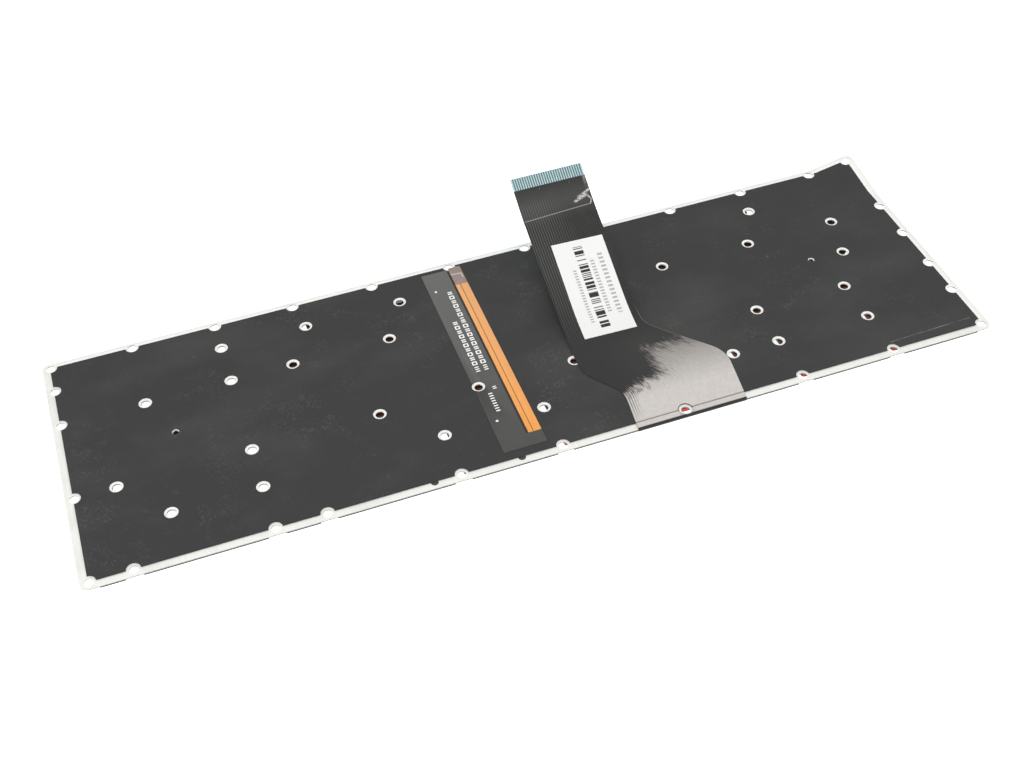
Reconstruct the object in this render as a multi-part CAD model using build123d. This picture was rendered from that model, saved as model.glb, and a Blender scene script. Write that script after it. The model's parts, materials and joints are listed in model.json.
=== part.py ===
from build123d import *
import math
import os

# A laptop's replacement keyboard, lying on its keys with its back up.
# Millimetres. The origin is under the plate's centre, on the plane of the key tops. +Z goes up, out
# of the back, +X along the space bar's edge to the Esc end, and +Y from the space bar to the function row.

# Plate and the films on it
plate_thickness = 0.5
plate_corner = 3.0
film_end_inset = 3.0          # from the plate's ends to the black film
film_side_inset = 2.75        # from the plate's long edges
film_thickness = 0.1
guide_thickness = 0.3
guide_margin = 1.2            # the light guide shows this far past the black film, on two sides
guide_inset = 2.8             # and stops this far inside it on the others, clear of the rim's screws
membrane_thickness = 0.3
membrane_inset = 5.4          # from the plate's edges to the membrane's, but for the near one

# Field of keys
key_pitch = 19.05
typing_units = 14.75          # key widths from the grid's start to the number pad
unit_overhang = 3.45          # the grid starts this far outside the field
control_units = 11.25         # key widths from the grid's start to the right control key
pad_pitch = 16.15
pad_columns = 4
row_pitch = 18.4
function_row_pitch = 11.8
field_end_inset = 1.95        # from the plate's ends to the field
field_side_inset = 3.85       # from the plate's long edges
cap_gap = 3.0
half_cap_gap = 1.0            # between the two half-height arrow keys

# Keycaps
cap_height = 2.2
cap_ceiling = 0.9
cap_wall = 1.0
cap_draft = 8.0
key_travel = 1.5
travel_margin = 0.1           # left between a pressed cap and the membrane
post_width = 6.0              # mechanism of a key that is made in one piece with it

# Rubber domes and scissor links
dome_base = 4.2
dome_draft = 15.0
link_span = 10.6              # outer link, along the row
link_length = 9.4
link_bar = 1.0
link_thickness = 0.7
link_gap = 0.25               # between the outer and the inner link
link_seat = 0.05              # from a link's ends to the cap and to the membrane

# Holes
screw_hole = 3.2
film_hole = 5.0
membrane_hole = 4.0
locating_hole = 1.8
slot_hole = 3.8
hole_sides = 6                # screw holes outside the bolt pattern, light to mesh
near_inset = 2.8              # screw centres from the plate's long edges
end_inset = 3.2               # screw centres from the plate's ends
far_screw_first = 21.0        # from the plate's Esc end
far_screw_pitch = 32.5
far_screw_count = 8
side_screw_shift = 1.6
membrane_notch = 6.4          # the membrane steps back round the rim's screws

# Corner bent up at the Esc key
corner_fold_along = 19.5
corner_fold_down = 25.7
corner_bend = 16.0

# Membrane tail, folded over the near edge and rising over the back
tail_thickness = 0.2
tail_root = 6.0               # the tail starts this far inside the plate's edge, under it
fold_clearance = 0.1
tail_flat = 39.85
tail_rise_radius = 60.0
tail_rise = 24.0
tail_slope = 30.2
tail_lift_radius = 100.0
tail_lift = 9.0
tail_end = 11.2
tail_width = 30.2
fan_width = 42.7
fan_radius = 9.0
neck_radius = 6.0
band_radius = 40.0
tail_notch = 5.4
stiffener_thickness = 0.25
stiffener_run = 16.6          # in plan, back from the tip
label_thickness = 0.1
label_width = 21.3
label_run = 39.2              # in plan
label_turn = -1.6

# Corners of the tail's plan, from the screw that its notch clears (x) and from the plate's near edge (y)
tail_left_x = -27.0
fan_left_x = -20.5
fan_bend_left_x = -17.7
fan_bend_left_y = 18.35
neck_left_x = -28.5
neck_left_y = 33.15
fan_bend_right_x = 26.7
fan_bend_right_y = 24.65
neck_right_x = 3.6
neck_right_y = 49.55
neck_end_y = 60.75
label_x = -9.8
label_y = 68.05

# Backlight: light strip, its lamps and its tail
strip_thickness = 0.15
strip_margin = 2.0            # the strip's side past its screw's centre
strip_width = 10.5
strip_near_inset = 6.45       # from the plate's near edge
strip_length = 100.3
foot_width = 16.4
foot_length = 6.0
light_tail_thickness = 0.2
light_tail_width = 5.0
light_tail_length = 95.0
light_tail_cover = 0.1
light_tail_cover_length = 10.5
lamp_count = 4
lamp_length = 3.0
lamp_width = 1.0
lamp_height = 0.3
lamp_pitch = 24.0
lamp_inset = 3.9              # lamps from the light strip's far side
slot_width = 1.6
slot_length = 84.0

# Heights, from the key tops up to the back
membrane_z = cap_height + key_travel + travel_margin
plate_z = membrane_z + membrane_thickness
guide_z = plate_z + plate_thickness
film_z = guide_z + guide_thickness
back_z = film_z + film_thickness

# The field's rows and ends, and the plate and the black film that follow from them
row_count = 5
field_end = (typing_units * key_pitch - unit_overhang + pad_columns * pad_pitch) / 2
field_near = -(row_count * row_pitch + function_row_pitch) / 2
row_lines = [field_near + row * row_pitch for row in range(row_count + 1)]
field_far = row_lines[row_count] + function_row_pitch
pad_start = pad_columns * pad_pitch - field_end
bottom_row, shift_row, home_row, upper_row, number_row = range(row_count)
plate_length = 2 * (field_end + field_end_inset)
plate_width = 2 * (field_far + field_side_inset)
film_length = plate_length - 2 * film_end_inset
film_width = plate_width - 2 * film_side_inset

# Keys that travel, each with its own name
moving_keys = list("1234567890qwertyuiopasdfghjklzxcvbnm") + [
    "backspace", "tab", "caps_lock", "enter", "left_shift", "right_shift", "left_control", "space",
]


def unit_x(units):
    """Line of the typing keys' grid, so many key widths from the grid's start."""
    return field_end + unit_overhang - units * key_pitch


def pad_x(columns):
    """Line between the number pad's columns, counted from the typing keys."""
    return pad_start - columns * pad_pitch


def typing_edges(first, count):
    """Key edges of a typing row: its ends, and the grid's lines from the first."""
    return [field_end] + [unit_x(first + k) for k in range(count)] + [pad_start]


def cells_between(names, edges, low, high):
    """A cell (low x, high x, low y, high y) for each name, from the Esc end."""
    return {name: (edges[k + 1], edges[k], low, high) for k, name in enumerate(names)}


def typing_cells():
    """Cells of the main block, by the key's name."""
    bottom_edges = typing_edges(1.25, 4)[:-1] + [unit_x(control_units - 2 + k) for k in range(3)]
    bottom_edges += [unit_x(control_units) - k * pad_pitch for k in range(1, 4)] + [pad_start]
    rows = (
        (number_row, "grave 1 2 3 4 5 6 7 8 9 0 minus equals backspace", typing_edges(1, 13)),
        (upper_row, "tab q w e r t y u i o p open_bracket close_bracket backslash", typing_edges(1.5, 13)),
        (home_row, "caps_lock a s d f g h j k l semicolon quote enter", typing_edges(1.75, 12)),
        (shift_row, "left_shift z x c v b n m comma period slash right_shift", typing_edges(2.25, 11)),
        (
            bottom_row,
            "left_control function system alt space right_alt menu right_control left arrows right",
            bottom_edges,
        ),
    )
    cells = {}
    for row, names, edges in rows:
        cells.update(cells_between(names.split(), edges, row_lines[row], row_lines[row + 1]))
    low_x, high_x, low_y, high_y = cells.pop("arrows")
    middle = (low_y + high_y) / 2
    overlap = (cap_gap - half_cap_gap) / 2
    cells["up"] = (low_x, high_x, middle - overlap, high_y)
    cells["down"] = (low_x, high_x, low_y, middle + overlap)
    return cells


def function_cells():
    """Cells of the function row: the Esc key, and one for each half column behind it."""
    columns = math.floor(2 * field_end / pad_pitch - 1)
    edges = [field_end] + [k * pad_pitch - field_end for k in range(columns, -1, -1)]
    return cells_between(range(columns + 1), edges, row_lines[row_count], field_far)


def pad_cells():
    """Cells of the number pad, with its wide zero and its two tall keys."""
    def cell(column, row, columns=1, rows=1):
        return pad_x(column + columns), pad_x(column), row_lines[row], row_lines[row + rows]

    cells = [cell(column, row) for row in (shift_row, home_row, upper_row) for column in range(3)]
    cells += [cell(column, number_row) for column in range(4)]
    cells += [cell(2, bottom_row), cell(0, bottom_row, columns=2)]
    cells += [cell(3, bottom_row, rows=2), cell(3, home_row, rows=2)]
    return cells


def middle_of(cell):
    low_x, high_x, low_y, high_y = cell
    return (low_x + high_x) / 2, (low_y + high_y) / 2


def cap_size(cell):
    low_x, high_x, low_y, high_y = cell
    return high_x - low_x - cap_gap, high_y - low_y - cap_gap


def plain_cap(cell):
    """Cap with its top down, wider at its skirt."""
    x, y = middle_of(cell)
    skirt = Plane(origin=(x, y, cap_height), x_dir=(1, 0, 0), z_dir=(0, 0, -1))
    return extrude(skirt * Rectangle(*cap_size(cell)), cap_height, taper=cap_draft)


def keycap(cell):
    """Hollow cap of a key that travels."""
    x, y = middle_of(cell)
    length, depth = cap_size(cell)
    hollow = Box(
        length - 2 * cap_wall,
        depth - 2 * cap_wall,
        cap_height - cap_ceiling,
        align=(Align.CENTER, Align.CENTER, Align.MIN),
    )
    return plain_cap(cell) - Pos(x, y, cap_ceiling) * hollow


def fixed_key(cell):
    """Cap in one piece with the mechanism that carries it on the membrane."""
    x, y = middle_of(cell)
    length, depth = cap_size(cell)
    post = Box(
        min(post_width, length - 2 * cap_wall),
        min(post_width, depth - 2 * cap_wall),
        membrane_z - cap_ceiling,
        align=(Align.CENTER, Align.CENTER, Align.MIN),
    )
    return plain_cap(cell) + Pos(x, y, cap_ceiling) * post


def rubber_dome(cell):
    """Dome between the membrane and the cap's ceiling."""
    x, y = middle_of(cell)
    seat = Plane(origin=(x, y, membrane_z), x_dir=(1, 0, 0), z_dir=(0, 0, -1))
    return extrude(seat * Rectangle(dome_base, dome_base), membrane_z - cap_ceiling, taper=dome_draft)


def scissor_link(cell, span, lean):
    """U-shaped frame that leans from the membrane to the cap's ceiling, lean being 1 or -1."""
    x, y = middle_of(cell)
    half_diagonal = math.hypot(link_length, link_thickness) / 2
    half_rise = (membrane_z - cap_ceiling) / 2 - link_seat
    angle = math.asin(half_rise / half_diagonal) - math.atan2(link_thickness, link_length)
    frame = Rectangle(span, link_length) - Pos(0, link_bar) * Rectangle(span - 2 * link_bar, link_length)
    frame = Pos(0, 0, -link_thickness / 2) * extrude(frame, link_thickness)
    return Pos(x, y, (membrane_z + cap_ceiling) / 2) * Rot(X=lean * math.degrees(angle)) * frame


def inner_screws():
    """Screw places inside the plate, where a line between rows meets one between keys."""
    units = {1: (2.25, 4.25, 5.25, 9.25, 11.25), 2: (2.25, 4.25, 8.25, 10.25, 12.25), 3: (1.75,),
             4: (1.5, 3.5, 5.5, 11.5, 13.5), 5: (3, 11, 13)}
    columns = {1: (0, 2), 2: (0, 3), 4: (0, 2), 5: (0,)}
    places = [(unit_x(n), row_lines[line]) for line in units for n in units[line]]
    return places + [(pad_x(n), row_lines[line]) for line in columns for n in columns[line]]


def near_screws():
    """Screw places along the space bar's edge."""
    lines = [pad_x(3), pad_x(0), unit_x(control_units) - 3 * pad_pitch]
    lines += [unit_x(n) for n in (control_units, control_units - 2, 4.25, 2.25)]
    ends = [end_inset - plate_length / 2, plate_length / 2 - end_inset]
    return [tail_screw()] + [(x, near_inset - plate_width / 2) for x in lines + ends]


def rim_screws():
    """Screw places on the plate's rim."""
    end = plate_length / 2 - end_inset
    far = [plate_length / 2 - far_screw_first - k * far_screw_pitch for k in range(far_screw_count)]
    places = [(x, plate_width / 2 - near_inset) for x in far + [pad_x(0), pad_x(2), -end, end]]
    places += [(-end, row_lines[line]) for line in (2, 4, 5)]
    places += [(end, row_lines[line] + side_screw_shift) for line in (1, 3, 4)] + [(end, row_lines[2])]
    return near_screws() + places


def tail_screw():
    """Screw on the near edge, in the middle of the space bar, that the tail's notch clears."""
    return unit_x(6.75), near_inset - plate_width / 2


def pattern_screws():
    """Four screws in a rectangle, which take the keyboard's bolt pattern."""
    return [(unit_x(n), row_lines[line]) for n in (2.25, 4.25) for line in (1, 2)]


def locating_places():
    """Small holes for the case's pins."""
    return [(unit_x(2.5), row_lines[3]), ((pad_x(1) + pad_x(2)) / 2, row_lines[3])]


def slot_places():
    """Holes of the plate alone, half under the black film's near edge."""
    return [(unit_x(n), -film_width / 2) for n in (10.1, 11.8)]


def at(places, shape):
    return [Pos(x, y) * shape for x, y in places]


def hole_shape(diameter):
    """Many-sided hole that a round one of that diameter just fits in."""
    return RegularPolygon(diameter / 2, hole_sides, major_radius=False)


def sheet(outline, low, thickness):
    """Flat sheet with its Esc corner bent up."""
    flat = Pos(0, 0, low) * extrude(outline, thickness)
    corner = Vector(plate_length / 2, plate_width / 2)
    along = corner - Vector(corner_fold_along, 0)
    down = corner - Vector(0, corner_fold_down)
    fold = (down - along).normalized()
    outward = Vector(-fold.Y, fold.X)
    origin = Vector(along.X, along.Y, plate_z + plate_thickness / 2)
    half = math.radians(corner_bend / 2)
    mitre_normal = outward * math.cos(half) + Vector(0, 0, 1) * math.sin(half)
    mitre = Plane(origin=origin, x_dir=fold, z_dir=mitre_normal)
    bent = flat.rotate(Axis(origin, fold), corner_bend)
    return split(flat, mitre, keep=Keep.BOTTOM) + split(bent, mitre, keep=Keep.TOP)


def lamp_slot():
    """Slot that the lamps reach through, to light the guide from its middle."""
    return Pos(lamp_x(), strip_middle()) * Rectangle(slot_width, slot_length)


def strip_left():
    return unit_x(control_units - 1) - strip_margin


def strip_near():
    return strip_near_inset - plate_width / 2


def strip_middle():
    return strip_near() + strip_length / 2


def lamp_x():
    return strip_left() + strip_width - lamp_inset


def base_plate():
    """Aluminium plate that everything is fixed to."""
    round_screws = pattern_screws()
    other_screws = [place for place in inner_screws() if place not in round_screws] + rim_screws()
    outline = RectangleRounded(plate_length, plate_width, plate_corner)
    outline -= at(round_screws, Circle(screw_hole / 2)) + at(other_screws, hole_shape(screw_hole))
    outline -= at(locating_places(), Rectangle(locating_hole, locating_hole))
    outline -= at(slot_places(), hole_shape(slot_hole))
    return sheet(outline, plate_z, plate_thickness)


def light_guide():
    """Film that spreads the light, which shows past the black film at its far and Esc sides."""
    square = Rectangle(film_hole, film_hole)
    growth = guide_margin - guide_inset
    shift = (guide_margin + guide_inset) / 2
    outline = Pos(shift, shift) * Rectangle(film_length + growth, film_width + growth)
    outline -= at(inner_screws() + rim_screws() + locating_places(), square)
    return sheet(outline - lamp_slot(), guide_z, guide_thickness)


def back_film():
    """Black film over the back, bitten at its edges round the rim's screws."""
    outline = Rectangle(film_length, film_width)
    outline -= at(inner_screws() + rim_screws(), hole_shape(film_hole))
    outline -= at(locating_places(), Rectangle(locating_hole, locating_hole))
    return sheet(outline - lamp_slot(), film_z, film_thickness)


def tail_legs():
    """Legs of the tail's inner side, from under the plate to the tip, as (run, radius, turn)."""
    return (
        (tail_root + fold_clearance, 0, 0),
        (0, (back_z - plate_z) / 2, -180),
        (tail_flat, 0, 0),
        (0, tail_rise_radius, tail_rise),
        (tail_slope, 0, 0),
        (0, tail_lift_radius, tail_lift),
        (tail_end, 0, 0),
    )


def tail_line(lift):
    """Edges in (y, z) that keep this far off the tail's inner side."""
    place = Vector(tail_root - plate_width / 2, plate_z - lift)
    heading = Vector(-1, 0)
    edges = []
    for run, radius, turn in tail_legs():
        if run:
            edge = Line(place, place + heading * run)
        else:
            edge = JernArc(place, heading, radius - lift * math.copysign(1, turn), turn)
        edges.append(edge)
        place, heading = edge @ 1, edge % 1
    return edges


def tail_slab(low, high):
    """Slab that follows the tail between two heights off its inner side, wider than the tail."""
    inner, outer = tail_line(low), tail_line(high)
    ends = [Line(inner[0] @ 0, outer[0] @ 0), Line(inner[-1] @ 1, outer[-1] @ 1)]
    side = make_face(inner + outer + ends)
    return Pos(X=tail_screw()[0] - fan_width) * extrude(Plane.YZ * side, 2 * fan_width)


def tail_tip():
    return (tail_line(0)[-1] @ 1).X


def tail_plan():
    """The tail's outline from above: a fan at the fold, a slanting neck and a straight band."""
    near = -tail_root
    far = tail_tip() + plate_width / 2 + tail_root
    tail_right_x = tail_left_x + tail_width
    left_corners = (
        (fan_left_x, near), (fan_bend_left_x, fan_bend_left_y), (neck_left_x, neck_left_y),
        (tail_left_x, neck_end_y), (tail_left_x, far),
    )
    right_corners = (
        (fan_left_x + fan_width, near), (fan_bend_right_x, fan_bend_right_y), (neck_right_x, neck_right_y),
        (tail_right_x, neck_end_y), (tail_right_x, far),
    )
    left_side = FilletPolyline(*left_corners, radius=[neck_radius, neck_radius, band_radius])
    right_side = FilletPolyline(*right_corners, radius=[fan_radius, neck_radius, band_radius])
    ends = [Line(left_side @ 0, right_side @ 0), Line(left_side @ 1, right_side @ 1)]
    outline = make_face(left_side.edges() + right_side.edges() + ends)
    return tail_corner() * outline - at([tail_screw()], hole_shape(tail_notch))


def tail_corner():
    """Place that the tail's plan is measured from."""
    return Pos(tail_screw()[0], -plate_width / 2)


def column_over(plan):
    """Upright column over a plan, taller than the tail."""
    return extrude(plan, tail_slope + tail_rise_radius)


def membrane():
    """Laminated circuit membrane under the plate, in one piece with its tail."""
    outline = Rectangle(plate_length - 2 * membrane_inset, plate_width - membrane_inset)
    outline = Pos(0, -membrane_inset / 2) * outline
    outline -= at(inner_screws() + locating_places(), Rectangle(membrane_hole, membrane_hole))
    outline -= at(near_screws(), Rectangle(membrane_notch, membrane_notch))
    tail = tail_slab(0, tail_thickness) & column_over(tail_plan())
    return sheet(outline, membrane_z, membrane_thickness) + tail


def tail_stiffener():
    """Plastic strip under the tail's tip, for the socket's clamp."""
    plan = Rectangle(tail_width, 2 * stiffener_run)
    plan = Pos(tail_screw()[0] + tail_left_x + tail_width / 2, tail_tip()) * plan
    return tail_slab(-stiffener_thickness, 0) & column_over(plan)


def tail_label():
    """Paper label on the tail, which bends with it."""
    plan = tail_corner() * Pos(label_x, label_y) * Rot(Z=label_turn) * Rectangle(label_width, label_run)
    return tail_slab(tail_thickness, tail_thickness + label_thickness) & column_over(plan)


def strip_body_plan():
    """The light strip's outline: a long body and a foot that reaches under its tail."""
    body = Pos(strip_left() + strip_width / 2, strip_middle()) * Rectangle(strip_width, strip_length)
    foot = Rectangle(foot_width, foot_length)
    foot = Pos(strip_left() + foot_width / 2, strip_near() + foot_length / 2) * foot
    return body + foot - at(inner_screws(), hole_shape(film_hole))


def light_strip():
    """Flexible board that carries the lamps."""
    return Pos(0, 0, back_z) * extrude(strip_body_plan(), strip_thickness)


def lamps():
    """Side lamps under the light strip, in the guide's slot."""
    lamp = Box(lamp_width, lamp_length, lamp_height, align=(Align.CENTER, Align.CENTER, Align.MAX))
    first = strip_middle() - (lamp_count - 1) * lamp_pitch / 2
    return [Pos(lamp_x(), first + k * lamp_pitch, back_z) * lamp for k in range(lamp_count)]


def light_tail_piece(length, low, thickness, far):
    """Piece of the light strip's tail, measured back from its far end."""
    x = strip_left() + foot_width - light_tail_width / 2
    box = Box(light_tail_width, length, thickness, align=(Align.CENTER, Align.MAX, Align.MIN))
    return Pos(x, far, low) * box


def light_tail_far():
    return strip_near() + foot_length + light_tail_length


def light_tail():
    """Orange tail that joins the light strip's foot and lies along the back."""
    return light_tail_piece(light_tail_length, back_z, light_tail_thickness, light_tail_far())


def light_tail_tip():
    """Stiff cover on the orange tail's plug end."""
    low = back_z + light_tail_thickness
    return light_tail_piece(light_tail_cover_length, low, light_tail_cover, light_tail_far())


def group(solids):
    """One node of separate solids."""
    return Compound(children=[solid for shape in solids for solid in shape.solids()])


typing = typing_cells()
moving = {name: typing[name] for name in moving_keys}
inner_span = link_span - 2 * (link_bar + link_gap)
nodes = {
    "base_plate": base_plate(),
    "membrane": membrane(),
    "light_guide": light_guide(),
    "back_film": back_film(),
    "light_strip": light_strip(),
    "side_lamps": group(lamps()),
    "light_tail": light_tail(),
    "light_tail_tip": light_tail_tip(),
    "tail_stiffener": tail_stiffener(),
    "tail_label": tail_label(),
    "rubber_domes": group([rubber_dome(cell) for cell in moving.values()]),
    "scissor_outer_links": group([scissor_link(cell, link_span, 1) for cell in moving.values()]),
    "scissor_inner_links": group([scissor_link(cell, inner_span, -1) for cell in moving.values()]),
    "function_row_keys": group([fixed_key(cell) for cell in function_cells().values()]),
    "number_pad_keys": group([fixed_key(cell) for cell in pad_cells()]),
    "sign_and_control_keys": group([fixed_key(typing[name]) for name in typing if name not in moving]),
}
nodes.update({f"key_{name}": keycap(cell) for name, cell in moving.items()})

os.makedirs("parts", exist_ok=True)
for name, shape in nodes.items():
    export_step(shape, f"parts/{name}.step")
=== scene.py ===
"""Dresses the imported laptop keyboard, which lies on its keys with its back up, and lights it softly."""
import json
import math

import bmesh
import bpy
import numpy as np
from mathutils import Matrix, Vector


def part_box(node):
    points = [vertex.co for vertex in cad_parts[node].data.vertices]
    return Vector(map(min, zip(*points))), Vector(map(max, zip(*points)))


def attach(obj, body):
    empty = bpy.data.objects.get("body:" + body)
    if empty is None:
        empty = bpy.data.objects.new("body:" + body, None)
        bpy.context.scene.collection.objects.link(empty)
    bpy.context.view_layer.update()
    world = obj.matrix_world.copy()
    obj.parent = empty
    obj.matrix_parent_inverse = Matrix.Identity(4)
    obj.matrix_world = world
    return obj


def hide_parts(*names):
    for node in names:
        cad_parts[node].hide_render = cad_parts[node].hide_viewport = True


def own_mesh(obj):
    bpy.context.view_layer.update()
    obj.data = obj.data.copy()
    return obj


bl_info = {
    "name": "Laptop Keyboard",
    "version": (1, 0, 0),
    "blender": (4, 5, 0),
    "location": "View3D > Sidebar > Keyboard",
    "description": "Builds the looks of a laptop's replacement keyboard around its packed frame",
    "category": "Mesh",
}

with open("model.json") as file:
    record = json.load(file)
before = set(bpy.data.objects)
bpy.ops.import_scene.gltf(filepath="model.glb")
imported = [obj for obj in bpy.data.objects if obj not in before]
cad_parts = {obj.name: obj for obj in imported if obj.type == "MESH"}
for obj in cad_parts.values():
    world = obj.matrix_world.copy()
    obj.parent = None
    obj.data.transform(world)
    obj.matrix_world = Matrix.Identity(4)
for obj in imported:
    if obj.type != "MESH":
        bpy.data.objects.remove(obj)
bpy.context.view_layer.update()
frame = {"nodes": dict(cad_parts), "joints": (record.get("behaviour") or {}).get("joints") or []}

# Sizes are in metres, as Blender's are, written as so many millimetres.
MM = 0.001

# Heights and half sizes that the frame gives
plate_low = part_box("base_plate")[0]
film_low, film_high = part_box("back_film")
strip_low, strip_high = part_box("light_strip")
plate_half = -Vector((plate_low.x, plate_low.y))
film_half = Vector((film_high.x, film_high.y))
membrane_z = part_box("membrane")[0].z
plate_z = plate_low.z
guide_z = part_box("light_guide")[0].z
film_z = film_low.z
back_z = strip_low.z
cap_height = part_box("key_q")[1].z
space_bar_low, space_bar_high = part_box("key_space")
key_rows_low_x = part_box("number_pad_keys")[0].x
key_rows_high_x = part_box("key_tab")[1].x

# Key layout: a field of keys within the plate, and the typing keys' grid, which starts outside the field
key_pitch = 19.05 * MM
pad_pitch = 16.15 * MM
row_pitch = 18.4 * MM
row_count = 5
pad_columns = 4
control_units = 11.25
field_end_inset = 1.95 * MM
field_near_inset = 3.85 * MM
unit_overhang = 3.45 * MM
field_end = plate_half.x - field_end_inset
row_lines = [field_near_inset - plate_half.y + row * row_pitch for row in range(row_count + 1)]
grid_start = field_end + unit_overhang
pad_start = pad_columns * pad_pitch - field_end

# Screws and pins
near_inset = 2.8 * MM
end_inset = 3.2 * MM
far_screw_first = 21.0 * MM
far_screw_pitch = 32.5 * MM
far_screw_count = 8
side_screw_shift = 1.6 * MM
pin_room = 0.4 * MM

# Films and membrane
guide_shift = 2.0 * MM
guide_inset = 0.8 * MM
guide_corner = 0.5 * MM
film_corner = 0.4 * MM
membrane_inset = 5.4 * MM
membrane_proud = 0.12 * MM
membrane_corner = 1.5 * MM
membrane_notch = 6.4 * MM
notch_corner = 0.8 * MM

# Corner bent up at the Esc key
corner_fold_along = 19.5 * MM
corner_fold_down = 25.7 * MM
corner_bend = math.radians(16)
corner_sharp = math.radians(10)

# Wide tail, from under the plate round the near edge to its tip: runs, and turns in degrees
tail_root = 6.0 * MM
tail_thickness = 0.2 * MM
tail_legs = (
    (6.1 * MM, 0, 0),
    (0, 0.45 * MM, -180),
    (39.85 * MM, 0, 0),
    (0, 60.0 * MM, 24),
    (30.2 * MM, 0, 0),
    (0, 100.0 * MM, 9),
    (11.2 * MM, 0, 0),
)
tail_width = 30.2 * MM
tail_notch = 5.4 * MM
tail_left_corners = ((-20.5, -6.0), (-17.7, 18.35), (-28.5, 33.15), (-27.0, 60.75), (-27.0, 140.0))
tail_right_corners = ((22.2, -6.0), (26.7, 24.65), (3.6, 49.55), (3.2, 60.75), (3.2, 140.0))
tail_left_reaches = (4.0, 4.0, 12.0)
tail_right_reaches = (6.5, 3.5, 12.0)
tail_fold_end = 8 * MM
stiffener_run = 16.6 * MM
stiffener_thickness = 0.25 * MM
contact_run = 5.2 * MM
contact_count = 29
contact_half = 0.27 * MM
contact_height = 0.03 * MM
contact_end = 0.15 * MM
label_place = Vector((-9.8, 68.05)) * MM
label_size = Vector((21.3, 39.2)) * MM
label_turn = math.radians(-1.6)
label_thickness = 0.1 * MM

# Light strip and its tail
strip_left = strip_low.x
strip_width = 10.5 * MM
foot_width = 16.4 * MM
foot_length = 6.0 * MM
lamp_inset = 3.9 * MM
slot_size = Vector((1.6, 84.0)) * MM
slot_corner = 0.3 * MM
mark_height = 0.02 * MM
light_tail_corner = 0.35 * MM
light_tail_edge = 0.025 * MM

# Keycaps, and the room under them for their links
cap_ceiling = 0.9 * MM
rise = membrane_z - cap_ceiling
cap_draft = math.radians(8)
cap_edge = 0.42 * MM
smallest_corner = 0.2 * MM
link_bar = 1.0 * MM
link_thickness = 0.7 * MM
link_edge = 0.14 * MM
link_seat = 0.05 * MM
link_room = 0.15 * MM
inner_link_step = 2.5 * MM

# Floor
floor_half = 3.0
floor_corner = 1.0
floor_thickness = 5 * MM
floor_gap = 0.02 * MM

# Camera, from the photograph's view of the plate's corners and screws
camera_place = Vector((-119.2, -359.3, 378.6)) * MM
camera_axes = Matrix(((0.9414, -0.3361, -0.0284), (0.2613, 0.6732, 0.6918), (-0.2134, -0.6586, 0.7216)))
camera_lens = 49.0


def linear(hex_colour):
    """Linear colour of an sRGB hex value."""
    shares = [int(hex_colour[k:k + 2], 16) / 255 for k in (1, 3, 5)]
    return tuple(s / 12.92 if s <= 0.04045 else ((s + 0.055) / 1.055) ** 2.4 for s in shares)


def length_property(name, description, default):
    return bpy.props.FloatProperty(
        name=name, description=description, default=default, min=0, unit="LENGTH", subtype="DISTANCE",
        precision=5,
    )


def colour_property(name, description, default):
    return bpy.props.FloatVectorProperty(
        name=name, description=description, default=linear(default), size=3, min=0, max=1, subtype="COLOR",
    )


class KeyboardSizes(bpy.types.PropertyGroup):
    screw_hole: length_property("Screw hole", "Diameter of the plate's screw holes", 3.2 * MM)
    film_hole: length_property("Film hole", "Diameter of the films' holes round the screws", 5.0 * MM)
    guide_hole: length_property("Guide hole", "Diameter of the light guide's holes", 4.3 * MM)
    membrane_hole: length_property("Membrane hole", "Diameter of the membrane's holes", 4.0 * MM)
    pin_hole: length_property("Pin hole", "Diameter of the plate's locating holes", 2.2 * MM)
    slot_hole: length_property("Plate hole", "Diameter of the plate's own holes at the near edge", 2.8 * MM)
    plate_corner: length_property("Plate corner", "Radius of the plate's corners", 3.0 * MM)
    cap_corner: length_property("Cap corner", "Radius of a keycap's corners", 1.3 * MM)
    cap_dish: length_property("Cap dish", "Depth of the hollow in a keycap's top", 0.16 * MM)
    end_clearance: length_property("End clearance", "Room from the end caps to the rim's screws", 1.4 * MM)
    cap_wall: length_property("Cap wall", "Thickness of a keycap's skirt", 1.0 * MM)
    link_span: length_property("Link span", "Width of the outer scissor link", 10.6 * MM)
    link_length: length_property("Link length", "Length of a scissor link", 9.4 * MM)
    dome_base: length_property("Dome base", "Diameter of a rubber dome's foot", 4.2 * MM)


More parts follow.
